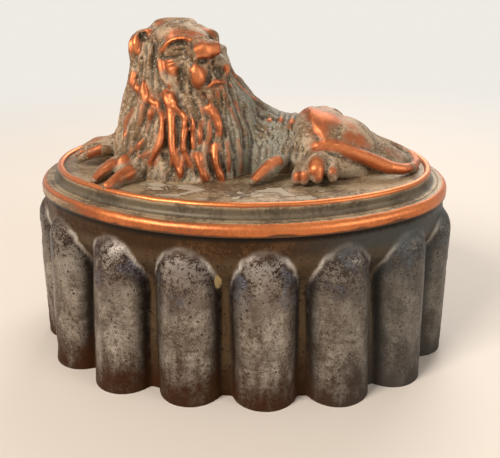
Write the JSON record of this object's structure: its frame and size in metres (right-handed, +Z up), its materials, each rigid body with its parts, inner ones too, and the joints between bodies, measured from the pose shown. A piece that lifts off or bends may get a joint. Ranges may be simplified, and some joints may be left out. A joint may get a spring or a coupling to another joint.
{
  "type": "jelly mould",
  "caption": "Oval jelly mould with a fluted tinned iron wall and a stepped copper crown that carries a lying lion.",
  "frame": {"origin": "middle of the mouth, on the surface that the mould stands on", "axes": "+Z up, +X along the oval towards the lion's tail, -Y to the side that the lion looks to"},
  "size_m": [0.182, 0.1418, 0.1397],
  "materials": {
    "copper": "polished on the ridges with a grey-brown patina in the hollows",
    "tinned_iron": "worn tin over dark iron, mottled and rusty at the foot",
    "solder": "dull grey soft solder"
  },
  "bodies": {
    "root": {"crown_plate": "copper", "lion_front_half": "copper", "lion_rear_half": "copper", "body_front": "tinned_iron", "body_rear": "tinned_iron", "lion_ridge_solder": "solder", "lion_base_solder": "solder", "rim_solder": "solder", "side_solder_left": "solder", "side_solder_right": "solder"}
  },
  "joints": []
}
